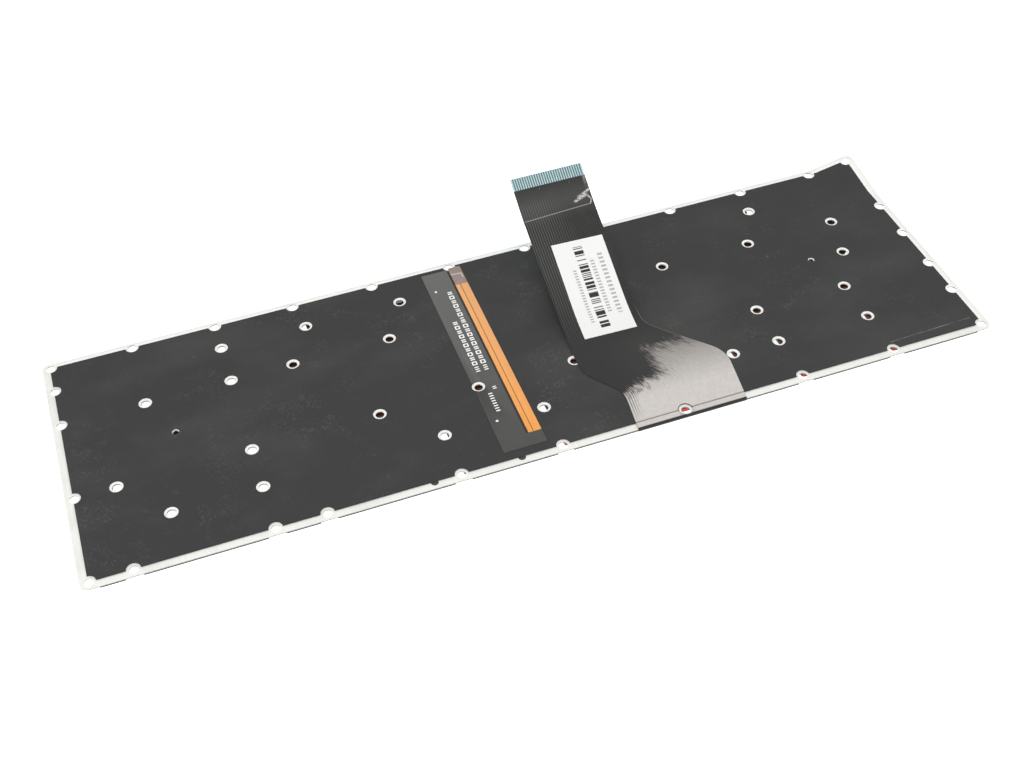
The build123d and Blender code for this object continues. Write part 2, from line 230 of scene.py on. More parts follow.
class KeyboardColours(bpy.types.PropertyGroup):
    plate: colour_property("Plate", "Lacquered aluminium", "#F5F5F0")
    edge: colour_property("Plate edge", "Bare cut aluminium", "#A9A9A5")
    guide: colour_property("Light guide", "Milky diffusing film", "#FAFAF8")
    film: colour_property("Back film", "Black printed polyester", "#3D3D3D")
    smudge: colour_property("Smudges", "Grease and dust on the back film", "#6A6A68")
    membrane: colour_property("Membrane", "Printed polyester laminate", "#1D1D1D")
    traces: colour_property("Traces", "Silver traces under the tail's print", "#575754")
    # Haze is a painted reflection: this pale grey stands in for a softbox mirrored in the tail's glossy
    # laminate at the fold
    painted_reflection: colour_property("Haze", "The tail's clouded print at the fold", "#D1CCC7")
    contact_film: colour_property("Contact film", "Blue-green polyester at the tip", "#B3CED0")
    carbon: colour_property("Contacts", "Carbon ink", "#4C6367")
    label: colour_property("Label", "Coated paper", "#EEEEEC")
    ink: colour_property("Label ink", "Thermal print", "#2B2B2B")
    strip: colour_property("Light strip", "Grey coverlay of the flexible board", "#4F4F4D")
    marks: colour_property("Marks", "White legend ink", "#FCFCFA")
    polyimide: colour_property("Light tail", "Orange polyimide film", "#F6AF6C")
    cover: colour_property("Tail cover", "Brown film over the contacts", "#94837B")
    tin: colour_property("Tin", "Tinned copper", "#D8D6D0")
    cap_body: colour_property("Cap body", "Red translucent moulding", "#7E1E0A")
    cap_paint: colour_property("Cap paint", "Black paint on the key tops", "#17171A")
    dome: colour_property("Dome", "Translucent silicone rubber", "#D8D6CE")
    link: colour_property("Link", "Natural acetal", "#E6E4DC")
    lamp: colour_property("Lamp", "Phosphor in clear resin", "#E9D98A")
    floor: colour_property("Floor", "Matt white paper", "#F7F7F7")


def sizes():
    return bpy.context.scene.keyboard_sizes


def colours():
    return bpy.context.scene.keyboard_colours


# Meshes

def round_outline(place, diameter, sides=40):
    """Points of a circle in plan."""
    x, y = place
    turns = [2 * math.pi * k / sides for k in range(sides)]
    return [(x + diameter / 2 * math.cos(t), y + diameter / 2 * math.sin(t)) for t in turns]


def rounded_outline(place, half_x, half_y, radius, steps=6):
    """Points of a rectangle in plan with round corners."""
    x, y = place
    points = []
    for quarter, (side_x, side_y) in enumerate(((1, 1), (-1, 1), (-1, -1), (1, -1))):
        centre_x = x + side_x * (half_x - radius)
        centre_y = y + side_y * (half_y - radius)
        for step in range(steps + 1):
            turn = math.pi / 2 * (quarter + step / steps)
            points.append((centre_x + radius * math.cos(turn), centre_y + radius * math.sin(turn)))
    return points


def add_ring(bm, points, z):
    return [bm.verts.new((x, y, z)) for x, y in points]


def bridge(bm, first, second, finish=0):
    """Faces between two rings of as many points."""
    for k in range(len(first)):
        after = (k + 1) % len(first)
        face = bm.faces.new((first[k], first[after], second[after], second[k]))
        face.material_index = finish


def bridge_all(bm, rings, finish=0):
    """Faces between each ring and the next."""
    for ring, after in zip(rings, rings[1:]):
        bridge(bm, ring, after, finish)


def soften(bm, width):
    """Rounds every edge a little."""
    bmesh.ops.bevel(bm, geom=bm.edges[:], offset=width, segments=2, affect="EDGES", profile=0.5)


def add_prism(bm, outline, low, high):
    """Closed upright prism over an outline."""
    bottom = add_ring(bm, outline, low)
    top = add_ring(bm, outline, high)
    bm.faces.new(bottom[::-1])
    bm.faces.new(top)
    bridge(bm, bottom, top)


def make_piece(name, bm, *materials, sharp=math.radians(32)):
    """Object of a bmesh, shaded smooth but for its sharp edges."""
    bmesh.ops.recalc_face_normals(bm, faces=bm.faces)
    for edge in bm.edges:
        edge.smooth = len(edge.link_faces) == 2 and edge.calc_face_angle() < sharp
    for face in bm.faces:
        face.smooth = True
    mesh = bpy.data.meshes.new(name)
    bm.to_mesh(mesh)
    bm.free()
    for material in materials:
        mesh.materials.append(material)
    piece = bpy.data.objects.new(name, mesh)
    bpy.context.scene.collection.objects.link(piece)
    return piece


def cut(piece, outlines, low, high):
    """Cuts upright holes with these outlines through a piece."""
    bm = bmesh.new()
    for outline in outlines:
        add_prism(bm, outline, low, high)
    tool = make_piece(f"{piece.name}_holes", bm)
    boolean = piece.modifiers.new("holes", "BOOLEAN")
    boolean.operation = "DIFFERENCE"
    boolean.solver = "EXACT"
    boolean.object = tool
    graph = bpy.context.evaluated_depsgraph_get()
    shaped = bpy.data.meshes.new_from_object(piece.evaluated_get(graph))
    piece.modifiers.clear()
    piece.data = shaped
    bpy.data.objects.remove(tool)


def bend_corner(piece):
    """Bends a sheet's Esc corner up along the fold, mitred there so that its thickness is kept."""
    along = plate_half - Vector((corner_fold_along, 0))
    down = plate_half - Vector((0, corner_fold_down))
    fold = (down - along).normalized()
    outward = Vector((-fold.y, fold.x, 0))
    middle_z = (plate_z + guide_z) / 2
    on_fold = 1e-6
    origin = Vector((along.x, along.y, middle_z))
    turn = Matrix.Rotation(corner_bend, 3, Vector((fold.x, fold.y, 0)))
    bm = bmesh.new()
    bm.from_mesh(piece.data)
    bmesh.ops.triangulate(bm, faces=[face for face in bm.faces if len(face.verts) > 4])
    everything = bm.verts[:] + bm.edges[:] + bm.faces[:]
    bmesh.ops.bisect_plane(bm, geom=everything, dist=1e-7, plane_co=origin, plane_no=outward)
    for vert in bm.verts:
        reach = (vert.co - origin).dot(outward)
        if reach > on_fold:
            vert.co = origin + turn @ (vert.co - origin)
        elif reach > -on_fold:
            vert.co -= outward * (vert.co.z - middle_z) * math.tan(corner_bend / 2)
    bmesh.ops.recalc_face_normals(bm, faces=bm.faces)
    for edge in bm.edges:
        edge.smooth = len(edge.link_faces) == 2 and edge.calc_face_angle() < corner_sharp
    bm.to_mesh(piece.data)
    bm.free()


# Layout

def unit_x(units):
    """Line of the typing keys' grid, so many key widths from the grid's start."""
    return grid_start - units * key_pitch


def pad_x(columns):
    """Line between the number pad's columns, counted from the typing keys."""
    return pad_start - columns * pad_pitch


def inner_screws():
    """Screw places inside the plate, where a line between rows meets one between keys."""
    units = {1: (2.25, 4.25, 5.25, 9.25, 11.25), 2: (2.25, 4.25, 8.25, 10.25, 12.25), 3: (1.75,),
             4: (1.5, 3.5, 5.5, 11.5, 13.5), 5: (3, 11, 13)}
    columns = {1: (0, 2), 2: (0, 3), 4: (0, 2), 5: (0,)}
    places = [(unit_x(n), row_lines[line]) for line in units for n in units[line]]
    return places + [(pad_x(n), row_lines[line]) for line in columns for n in columns[line]]


def tail_screw():
    """Screw in the middle of the near edge, which the tail's notch clears."""
    return Vector((unit_x(6.75), near_inset - plate_half.y))


def near_screws():
    """Screw places along the space bar's edge."""
    lines = [pad_x(3), pad_x(0), unit_x(control_units) - 3 * pad_pitch]
    lines += [unit_x(n) for n in (control_units, control_units - 2, 4.25, 2.25)]
    ends = [end_inset - plate_half.x, plate_half.x - end_inset]
    return [tail_screw()] + [(x, near_inset - plate_half.y) for x in lines + ends]


def rim_screws():
    """Screw places on the plate's rim."""
    end = plate_half.x - end_inset
    far = [plate_half.x - far_screw_first - k * far_screw_pitch for k in range(far_screw_count)]
    places = [(x, plate_half.y - near_inset) for x in far + [pad_x(0), pad_x(2), -end, end]]
    places += [(-end, row_lines[line]) for line in (2, 4, 5)]
    places += [(end, row_lines[line] + side_screw_shift) for line in (1, 3, 4)] + [(end, row_lines[2])]
    return near_screws() + places


def locating_places():
    """Small holes for the case's pins."""
    return [(unit_x(2.5), row_lines[3]), ((pad_x(1) + pad_x(2)) / 2, row_lines[3])]


def slot_places():
    """Holes of the plate alone, half under the back film's near edge."""
    return [(unit_x(n), -film_half.y) for n in (10.07, 11.77)]


def lamp_slot():
    """Slot for the lamps, under the light strip."""
    place = (strip_left + strip_width - lamp_inset, (strip_low.y + strip_high.y) / 2)
    return rounded_outline(place, slot_size.x / 2, slot_size.y / 2, slot_corner)


# Materials

def add(tree, kind, *values, **settings):
    """Adds a shader node, sets or links its inputs in order, and returns its first output."""
    node = tree.nodes.new(f"ShaderNode{kind}")
    for name, value in settings.items():
        setattr(node, name, value)
    for socket, value in zip([s for s in node.inputs if s.enabled], values):
        if isinstance(value, bpy.types.NodeSocket):
            tree.links.new(value, socket)
        elif socket.type == "RGBA":
            socket.default_value = (*value, 1)
        elif value is not None:
            socket.default_value = value
    return next(output for output in node.outputs if output.enabled)


def material_of(name, colour, roughness, ior=1.5, metallic=0.0, others=None):
    """Material with constants on its shader's own sockets, its tree, the shader and the place in metres."""
    material = bpy.data.materials.new(name)
    material.use_nodes = True
    tree = material.node_tree
    shader = tree.nodes["Principled BSDF"]
    constants = {"Base Color": (*colour, 1), "Roughness": roughness, "Metallic": metallic}
    if not metallic:
        constants["IOR"] = ior
    constants.update(others or {})
    for socket, value in constants.items():
        shader.inputs[socket].default_value = value
    material.diffuse_color = (*colour, 1)
    return material, tree, shader, add(tree, "TexCoord").node.outputs["Object"]


def patches(tree, place, grain, low, high, most=1.0, detail=3, stretch=(1, 1, 1)):
    """Mask of irregular patches of one size, stretched along the axes, 0 to most between two levels."""
    stretched = add(tree, "Mapping", place, None, None, [1 / s for s in stretch])
    noise = add(tree, "TexNoise", stretched, 1 / grain, detail)
    return add(tree, "MapRange", noise, low, high, 0, most)


def fade(tree, mask, value, low=0, high=1, first=0.0, last=1.0):
    """Mask that changes from first to last of itself between two limits of a value, or of another mask."""
    share = add(tree, "MapRange", value, low, high, first, last)
    return add(tree, "Math", mask, share, operation="MULTIPLY")


def band(tree, value, low, high, soft, most=1.0):
    """Mask between two limits of a value, with soft sides."""
    first_side = add(tree, "MapRange", value, low - soft / 2, low + soft / 2, 0, most)
    return add(tree, "MapRange", value, high - soft / 2, high + soft / 2, first_side, 0)


def even_lines(tree, value, pitch, share, most=1.0):
    """Mask of even lines across a value, this share of the pitch wide."""
    wave = add(tree, "Math", value, pitch / 2, operation="PINGPONG")
    return add(tree, "MapRange", wave, pitch / 2 * (share - 0.25), pitch / 2 * (share + 0.25), most, 0)


def stroke(tree, place, start, end, width, most=1.0):
    """Mask of a straight mark between two places in plan, in millimetres."""
    start, end, width = Vector(start) * MM, Vector(end) * MM, width * MM
    along = end - start
    turn = (0, 0, math.atan2(along.y, along.x))
    turned = add(tree, "Mapping", place, (*start, 0), turn, vector_type="TEXTURE")
    run, offset, _ = add(tree, "SeparateXYZ", turned).node.outputs
    across = band(tree, offset, -width / 2, width / 2, width / 2, most)
    return add(tree, "Math", across, band(tree, run, 0, along.length, width), operation="MULTIPLY")


def specks(tree, place, spacing, size, share, most=1.0):
    """Mask of scattered dots of one size, in this share of the cells."""
    distance, colour, _ = [o for o in add(tree, "TexVoronoi", place, 1 / spacing).node.outputs if o.enabled]
    dots = add(tree, "MapRange", distance, size / spacing * 0.35, size / spacing * 0.65, most, 0)
    return fade(tree, dots, add(tree, "SeparateColor", colour), share - 0.01, share + 0.01, 1, 0)


def strongest(tree, *masks):
    """Greatest of several masks."""
    result = masks[0]
    for mask in masks[1:]:
        result = add(tree, "Math", result, mask, operation="MAXIMUM")
    return result


def paint(tree, shader, *coats):
    """Lays coats over the shader's own colour, each a mask and a colour."""
    colour = shader.inputs["Base Color"].default_value[:3]
    for mask, over in coats:
        colour = add(tree, "Mix", mask, colour, over, data_type="RGBA")
    tree.links.new(colour, shader.inputs["Base Color"])


def lacquered_aluminium():
    # Rolled aluminium sheet with a thin white lacquer, which sends the backlight up: even, faintly satin,
    # with roller lines across the sheet, drawn 0.6 mm apart, coarser than the real ones.
    material, tree, shader, place = material_of(
        "lacquered_aluminium", colours().plate, 0.42, others={"Coat Weight": 0.15}
    )
    grain = patches(tree, place, 0.6 * MM, 0.3, 0.7, stretch=(1, 30, 1))
    dirt = patches(tree, place, 9 * MM, 0.5, 0.8, 0.35, 4)
    faint = add(tree, "Math", grain, 0.3, operation="MULTIPLY")
    paint(tree, shader, (faint, linear("#DADAD2")), (dirt, linear("#C9C9C4")))
    tree.links.new(add(tree, "Bump", 0.3, 0.01 * MM, None, grain), shader.inputs["Normal"])
    return material


def sheared_aluminium():
    # Cut edge of the sheet, with no lacquer: bare, dull metal with upright shear marks. They are drawn
    # 0.25 mm apart, coarser than the real ones.
    material, tree, shader, place = material_of("sheared_aluminium", colours().edge, 0.5, metallic=1.0)
    shear = patches(tree, place, 0.25 * MM, 0.3, 0.7, stretch=(1, 1, 8))
    paint(tree, shader, (shear, linear("#8C8C88")))
    tree.links.new(add(tree, "Bump", 0.5, 0.02 * MM, None, shear), shader.inputs["Normal"])
    return material


def milky_film():
    # Diffusing polycarbonate film: bright matt white that lets light through, with a soft pebble, which is
    # drawn at 0.4 mm, coarser than the real one.
    material, tree, shader, place = material_of(
        "milky_polycarbonate", colours().guide, 0.5, ior=1.58,
        others={"Subsurface Weight": 0.2, "Subsurface Scale": 0.5 * MM},
    )
    pebble = patches(tree, place, 0.4 * MM, 0.3, 0.8, 0.15, 2)
    paint(tree, shader, (pebble, linear("#E6E6E2")))
    tree.links.new(add(tree, "Bump", 0.4, 0.1 * MM, None, pebble), shader.inputs["Normal"])
    return material


def black_polyester():
    # Black-printed matt polyester film: an even dark grey with a fine grain, dust, grease smears and one
    # long scratch near the near Esc corner. The grain is drawn at 0.6 mm, coarser than the real one.
    material, tree, shader, place = material_of(
        "black_printed_polyester", colours().film, 0.55, ior=1.6, others={"Specular IOR Level": 0.1}
    )
    grain = patches(tree, place, 0.6 * MM, 0.3, 0.8, 0.06, 2)
    smears = patches(tree, place, 26 * MM, 0.48, 0.75, 0.18, 5, stretch=(1.8, 1, 1))
    fine_dust = specks(tree, place, 3.0 * MM, 0.28 * MM, 0.3, 0.22)
    coarse_dust = specks(tree, place, 11 * MM, 0.45 * MM, 0.4, 0.4)
    rubbed = patches(tree, place, 0.9 * MM, 0.5, 0.8, 0.09, 6)
    rubbed = fade(tree, rubbed, patches(tree, place, 9 * MM, 0.5, 0.62))
    dust = strongest(tree, fine_dust, coarse_dust, rubbed)
    dust = fade(tree, dust, patches(tree, place, 34 * MM, 0.42, 0.6), 0, 1, 0.15, 1)
    scratch = stroke(tree, place, (132, -49.4), (167, -48.6), 0.35, 0.35)
    scratch = fade(tree, scratch, patches(tree, place, 2 * MM, 0.35, 0.6, stretch=(4, 1, 1)))
    paint(tree, shader, (grain, colours().smudge), (smears, colours().smudge),
          (strongest(tree, dust, scratch), linear("#C4C4C0")))
    tree.links.new(add(tree, "MapRange", smears, 0, 0.2, 0.52, 0.66), shader.inputs["Roughness"])
    tree.links.new(add(tree, "Bump", 0.25, 0.15 * MM, None, grain), shader.inputs["Normal"])
    return material


def printed_laminate():
    # Membrane laminate: black ink on glossy polyester over silver traces, which show as even ridges along
    # the tail at their real pitch of about 1 mm. At the fold a pale grey painted reflection stands in for a
    # softbox mirrored in the glossy laminate.
    material, tree, shader, place = material_of(
        "printed_polyester_laminate", colours().membrane, 0.3, ior=1.6, others={"Specular IOR Level": 0.4}
    )
    x, y, z = add(tree, "SeparateXYZ", place).node.outputs
    on_tail = add(tree, "UVMap", uv_map="tail")
    across, from_tip, _ = add(tree, "SeparateXYZ", on_tail).node.outputs
    pitch = tail_width / (contact_count + 1)

    # Traces: weaker on the right, behind the contacts and towards the fold, and none off the tail
    ridges = even_lines(tree, across, pitch, 0.42)
    ridges = fade(tree, ridges, across, 8 * MM, 20 * MM, 1, 0.3)
    ridges = fade(tree, ridges, from_tip, 10 * MM, 13 * MM, 0.08, 1)
    ridges = fade(tree, ridges, y, -19 * MM, -6 * MM, 0.04, 1)
    ridges = fade(tree, ridges, from_tip, 0.01 * MM, 0.02 * MM)
    worn = band(tree, from_tip, 7 * MM, 18.2 * MM, 6 * MM, 0.26)
    dull = patches(tree, place, 5 * MM, 0.4, 0.7, 0.35, 5, stretch=(1, 2, 1))
    dull = fade(tree, dull, y, -9 * MM, 22 * MM)
    greyed = patches(tree, place, 1.2 * MM, 0.35, 0.75, 0.2, 5)
    # Painted sheen: a lighter area right of the neck, beside the painted reflection; it joins the dull
    # patches
    painted_sheen = fade(tree, band(tree, y, -36 * MM, -8 * MM, 12 * MM, 0.45), x, 24 * MM, 44 * MM)
    dull = strongest(tree, dull, greyed, painted_sheen)
    faint = fade(tree, ridges, y, -9 * MM, 22 * MM, 0.12, 0.8)

    # Painted reflection of a softbox on the glossy laminate at the fold: its edge is torn along the traces,
    # and it darkens towards the tail
    slope, corner_x, corner_y = 0.33, 42.5, -34.1
    slant = add(tree, "Math", x, slope, (corner_y - slope * corner_x) * MM, operation="MULTIPLY_ADD")
    below = add(tree, "Math", slant, y, operation="SUBTRACT")
    right = add(tree, "Math", x, 45.6 * MM, operation="SUBTRACT")
    under = add(tree, "Math", -20.0 * MM, y, operation="SUBTRACT")
    corner = add(tree, "Math", right, under, operation="MINIMUM")
    depth = add(tree, "Math", below, corner, operation="MAXIMUM")
    tearing = patches(tree, on_tail, 0.7 * MM, 0, 1, 12 * MM, 5, stretch=(1, 4, 1))
    hatch = even_lines(tree, across, pitch / 2, 0.5)
    hatch = fade(tree, hatch, patches(tree, on_tail, 1.5 * MM, 0.4, 0.6, stretch=(1, 3, 1)))
    tearing = add(tree, "Math", hatch, -4.0 * MM, tearing, operation="MULTIPLY_ADD")
    depth = add(tree, "Math", depth, tearing, operation="ADD")
    painted_reflection = add(tree, "MapRange", depth, 3.0 * MM, 7.0 * MM)
    thin_lines = even_lines(tree, across, pitch, 0.2)
    thin_lines = fade(tree, thin_lines, y, -40 * MM, -32 * MM)
    thin_lines = fade(tree, thin_lines, depth, 6 * MM, 15 * MM, 1, 0)
    thin_lines = fade(tree, thin_lines, patches(tree, on_tail, 2 * MM, 0.4, 0.55, stretch=(1, 4, 1)))
    painted_reflection = fade(tree, painted_reflection, thin_lines, 0, 1, 1, 0.5)
    left_lines = even_lines(tree, across, 0.65 * MM, 0.35)
    left_lines = fade(tree, left_lines, across, 1.2 * MM, 3.4 * MM, 1, 0)
    left_lines = fade(tree, left_lines, y, -54 * MM, -44 * MM)
    painted_reflection = fade(tree, painted_reflection, left_lines, 0, 1, 1, 0.15)
    painted_reflection = fade(tree, painted_reflection, band(tree, y, -53.1 * MM, -52.6 * MM, 0.3 * MM), 0, 1, 1, 0.3)
    painted_reflection = fade(tree, painted_reflection, y, -55.6 * MM, -55.2 * MM)
    painted_reflection = fade(tree, painted_reflection, z, back_z - 0.1 * MM, back_z + 0.1 * MM)
    mottle = patches(tree, place, 1.4 * MM, 0.35, 0.75, 0.2, 5)
    reflection_colour = add(tree, "Mix", mottle, colours().painted_reflection, linear("#8E8984"), data_type="RGBA")
    darker = add(tree, "MapRange", y, -42 * MM, -20 * MM, 0, 0.85)
    reflection_colour = add(tree, "Mix", darker, reflection_colour, linear("#7C7773"), data_type="RGBA")

    # Crease before the tip with its hook, the torn mark beside it, a painted highlight along the tail's
    # right edge at the neck, and scuffs at the tail's edges
    ragged = patches(tree, place, 0.7 * MM, 0.36, 0.46, detail=4)
    torn = strongest(
        tree,
        stroke(tree, on_tail, (22.6, 15.3), (27.0, 13.5), 1.0, 0.8),
        stroke(tree, on_tail, (24.8, 14.0), (28.2, 13.0), 1.7, 0.8),
        stroke(tree, on_tail, (26.2, 13.2), (29.9, 11.4), 0.9, 0.8),
        stroke(tree, on_tail, (27.9, 12.8), (29.5, 15.4), 0.6, 0.7),
        fade(tree, band(tree, across, 28.8 * MM, 30.1 * MM, 0.6 * MM, 0.3), from_tip, 11 * MM, 6 * MM),
    )
    torn = fade(tree, torn, ragged)
    # Painted highlight: a thin pale line along the tail's right edge at the neck
    edges = fade(tree, band(tree, across, 29.85 * MM, 30.4 * MM, 0.2 * MM, 0.12), y, -36 * MM, -30 * MM)
    edges = fade(tree, edges, y, -2 * MM, 4 * MM, 1, 0)
    marks = strongest(
        tree,
        stroke(tree, on_tail, (0.5, 18.5), (28.6, 17.4), 0.28, 0.45),
        stroke(tree, on_tail, (28.6, 17.5), (29.6, 15.6), 0.45, 0.7),
        torn,
        edges,
    )
    scuffs = fade(tree, specks(tree, place, 2.2 * MM, 0.4 * MM, 0.6, 0.4), from_tip, 11 * MM, 9 * MM)
    # Painted sheen: the membrane's top, seen through the plate's holes, is painted grey-green to stand in
    # for the glossy sheet's reflection
    sheen_on_sheet_top = band(tree, z, plate_z - 0.03 * MM, plate_z + 0.03 * MM, 0.01 * MM)
    sheen_on_sheet_top = fade(tree, sheen_on_sheet_top, y, -54.6 * MM, -54.2 * MM)

    # The dull coat also holds the painted sheen, the haze coat is the painted reflection, and the marks
    # also hold the painted edge highlight
    paint(
        tree, shader,
        (dull, linear("#363634")), (worn, linear("#5E5E5A")), (faint, colours().traces), (painted_reflection, reflection_colour),
        (marks, linear("#D2CFCA")), (scuffs, linear("#A5A5A2")), (sheen_on_sheet_top, linear("#60645F")),
    )
    tree.links.new(add(tree, "MapRange", painted_reflection, 0, 1, 0.3, 0.45), shader.inputs["Roughness"])
    tree.links.new(add(tree, "Bump", 0.6, 0.06 * MM, None, ridges), shader.inputs["Normal"])
    return material


def contact_polyester():
    # Blue-green polyester reinforcing film at the tail's tip: translucent, satin, scuffed white by use.
    colour = colours().contact_film
    material, tree, shader, place = material_of("blue_polyester_film", colour, 0.35, ior=1.6)
    scuffs = patches(tree, place, 1.1 * MM, 0.58, 0.7, 0.7, 5, stretch=(0.5, 2, 1))
    paint(tree, shader, (scuffs, linear("#EEF4F4")))
    tree.links.new(add(tree, "Bump", 0.3, 0.01 * MM, None, scuffs), shader.inputs["Normal"])
    return material


def carbon_ink():
    # Screen-printed carbon over silver: matt and grainy, and greenish where the film shows through. The
    # grains are drawn at 0.3 mm, coarser than the real ones.
    material, tree, shader, place = material_of("carbon_ink", colours().carbon, 0.6)
    grains = patches(tree, place, 0.3 * MM, 0.35, 0.75, 0.6, 4)
    paint(tree, shader, (grains, linear("#6F9096")))
    return material


def label_paper():
    # Coated label paper: bright, smooth and a little glossy, thermally printed with a plain pattern of bars
    # and rows of ticks that say nothing. Its fibres are drawn at 0.7 mm, coarser than the real ones.
    material, tree, shader, place = material_of("coated_paper", colours().label, 0.45, ior=1.45)
    on_label = add(tree, "UVMap", uv_map="label")
    across, along, _ = add(tree, "SeparateXYZ", on_label).node.outputs
    steps = add(tree, "Math", along, 0.36 * MM, operation="SNAP")
    picked = add(tree, "TexWhiteNoise", steps, noise_dimensions="1D")
    bars = fade(tree, band(tree, across, 8.0 * MM, 11.8 * MM, 0.2 * MM), picked, 0.44, 0.46)
    printed = [fade(tree, bars, band(tree, along, 3.0 * MM, 36.6 * MM, 0.2 * MM))]
    rows = ((5.0, 1.4, 6, 28, 1.1), (13.0, 1.6, 9, 31, 1.2), (16.6, 2.0, 8, 33, 1.6))
    for side, height, first, last, pitch in rows:
        row = band(tree, across, side * MM, (side + height) * MM, 0.2 * MM, 0.55)
        row = fade(tree, row, even_lines(tree, along, pitch * MM, 0.45))
        printed.append(fade(tree, row, band(tree, along, first * MM, last * MM, 0.2 * MM)))
    fibres = patches(tree, place, 0.7 * MM, 0.3, 0.8, 0.12, 4)
    paint(tree, shader, (fibres, linear("#D8D8D4")), (strongest(tree, *printed), colours().ink))
    return material


def grey_coverlay():
    # Flexible board under a grey solder mask: satin, a little uneven, lighter towards its far end, with
    # the copper traces just showing as long raised lines.
    material, tree, shader, place = material_of(
        "grey_coverlay", colours().strip, 0.5, ior=1.55, others={"Specular IOR Level": 0.2}
    )
    x, y, _ = add(tree, "SeparateXYZ", place).node.outputs
    uneven = patches(tree, place, 4 * MM, 0.3, 0.8, 0.1, 4)
    streaks = patches(tree, place, 0.8 * MM, 0.55, 0.75, 0.07, 4, stretch=(1, 9, 1))
    paler = add(tree, "MapRange", y, -50 * MM, 55 * MM, 0, 0.6)
    paint(tree, shader, (paler, linear("#7C7C79")), (uneven, linear("#6A6A66")),
          (streaks, linear("#8A8A86")))
    traces = even_lines(tree, x, 1.5 * MM, 0.5)
    tree.links.new(add(tree, "Bump", 0.15, 0.02 * MM, None, traces), shader.inputs["Normal"])
    return material


def legend_ink():
    # Screen-printed white legend ink: matt, with slightly uneven cover.
    material, tree, shader, place = material_of("white_legend_ink", colours().marks, 0.6)
    thin = patches(tree, place, 0.4 * MM, 0.45, 0.75, 0.15, 2)
    paint(tree, shader, (thin, linear("#A8A8A4")))
    return material


def orange_polyimide():
    # Polyimide film over copper: amber and glossy, deeper in colour towards its root, with the gap
    # between its two traces as a darker line. Its faint weave is drawn at 0.8 mm, coarser than the real
    # one.
    material, tree, shader, place = material_of("polyimide_film", colours().polyimide, 0.3, ior=1.7)
    x, y, _ = add(tree, "SeparateXYZ", place).node.outputs
    deeper = add(tree, "MapRange", y, -45 * MM, 35 * MM, 0.9, 0)
    weave = patches(tree, place, 0.8 * MM, 0.3, 0.8, 0.15, 2, stretch=(1, 3, 1))
    gap = band(tree, x, -9.6 * MM, -9.2 * MM, 0.15 * MM, 0.9)
    paint(tree, shader, (deeper, linear("#EE9A3A")), (weave, linear("#FFD9A0")),
          (gap, linear("#9C6428")))
    tree.links.new(add(tree, "Bump", -0.6, 0.03 * MM, None, gap), shader.inputs["Normal"])
    return material


def brown_cover_film():
    # Brown polyester cover over the plug end, with a silver line and a small corner of tinned copper.
    material, tree, shader, place = material_of("brown_cover_film", colours().cover, 0.45, ior=1.6)
    worn = patches(tree, place, 1.2 * MM, 0.35, 0.75, 0.35, 4)
    silver = strongest(
        tree,
        stroke(tree, place, (-11.3, 47.6), (-6.9, 47.2), 0.45),
        stroke(tree, place, (-7.1, 47.4), (-7.1, 44.6), 0.4),
    )
    paint(tree, shader, (worn, linear("#A89A93")), (silver, colours().tin))
    return material


def red_polycarbonate():
    # Red translucent moulding of the keycaps, left bare inside and at the skirt: satin, with flow marks. It
    # is red at the keyboard's sides; painted shade turns it brown further in, and painted light makes it
    # brighter at the near edge, most of all on the space bar.
    material, tree, shader, place = material_of(
        "red_translucent_polycarbonate", colours().cap_body, 0.5, ior=1.585,
        others={"Subsurface Weight": 0.3, "Subsurface Scale": 0.8 * MM, "Specular IOR Level": 0.12},
    )
    x, y, _ = add(tree, "SeparateXYZ", place).node.outputs
    flow = patches(tree, place, 3 * MM, 0.3, 0.8, 0.3)
    # Painted shade: browner further in from the keyboard's sides
    painted_shade_further_in = band(tree, y, -46 * MM, 50 * MM, 10 * MM, 0.8)
    painted_shade_further_in = fade(tree, painted_shade_further_in, band(tree, x, -165 * MM, 165 * MM, 8 * MM))
    painted_shade_further_in = fade(tree, painted_shade_further_in, patches(tree, place, 40 * MM, 0.35, 0.65), 0, 1, 0.85, 1)
    # Painted light: brighter at the near edge, most of all on the space bar
    painted_light_near_edge = add(tree, "MapRange", y, -51 * MM, -48 * MM, 1, 0)
    painted_light_near_edge = fade(tree, painted_light_near_edge, band(tree, x, space_bar_low.x, space_bar_high.x, 0.5 * MM), 0, 1, 0.3, 0.9)
    paint(tree, shader, (flow, linear("#5E1C10")), (painted_shade_further_in, linear("#483930")),
          (painted_light_near_edge, linear("#C9431F")))
    return material


def black_key_paint():
    # Soft-touch black paint on the key tops: matt, with a fine orange peel drawn at 0.3 mm.
    material, tree, shader, place = material_of("matt_black_key_paint", colours().cap_paint, 0.5)
    peel = patches(tree, place, 0.3 * MM, 0.3, 0.8, 1, 2)
    faint = add(tree, "Math", peel, 0.25, operation="MULTIPLY")
    paint(tree, shader, (faint, linear("#2A2A2C")))
    tree.links.new(add(tree, "Bump", 0.4, 0.01 * MM, None, peel), shader.inputs["Normal"])
    return material


def silicone_rubber():
    # Moulded silicone: milky, soft-looking and slightly greasy.
    material, tree, shader, place = material_of(
        "silicone_rubber", colours().dome, 0.45, ior=1.41,
        others={"Subsurface Weight": 0.6, "Subsurface Scale": 1.5 * MM},
    )
    paint(tree, shader, (patches(tree, place, 1.5 * MM, 0.3, 0.7, 0.3, 2), linear("#B8B4A8")))
    return material


def natural_acetal():
    # Injection-moulded acetal, uncoloured: waxy, slick and off-white.
    material, tree, shader, place = material_of("natural_acetal", colours().link, 0.35, ior=1.48)
    paint(tree, shader, (patches(tree, place, 2 * MM, 0.3, 0.7, 0.2, 2), linear("#CFCBBE")))
    return material


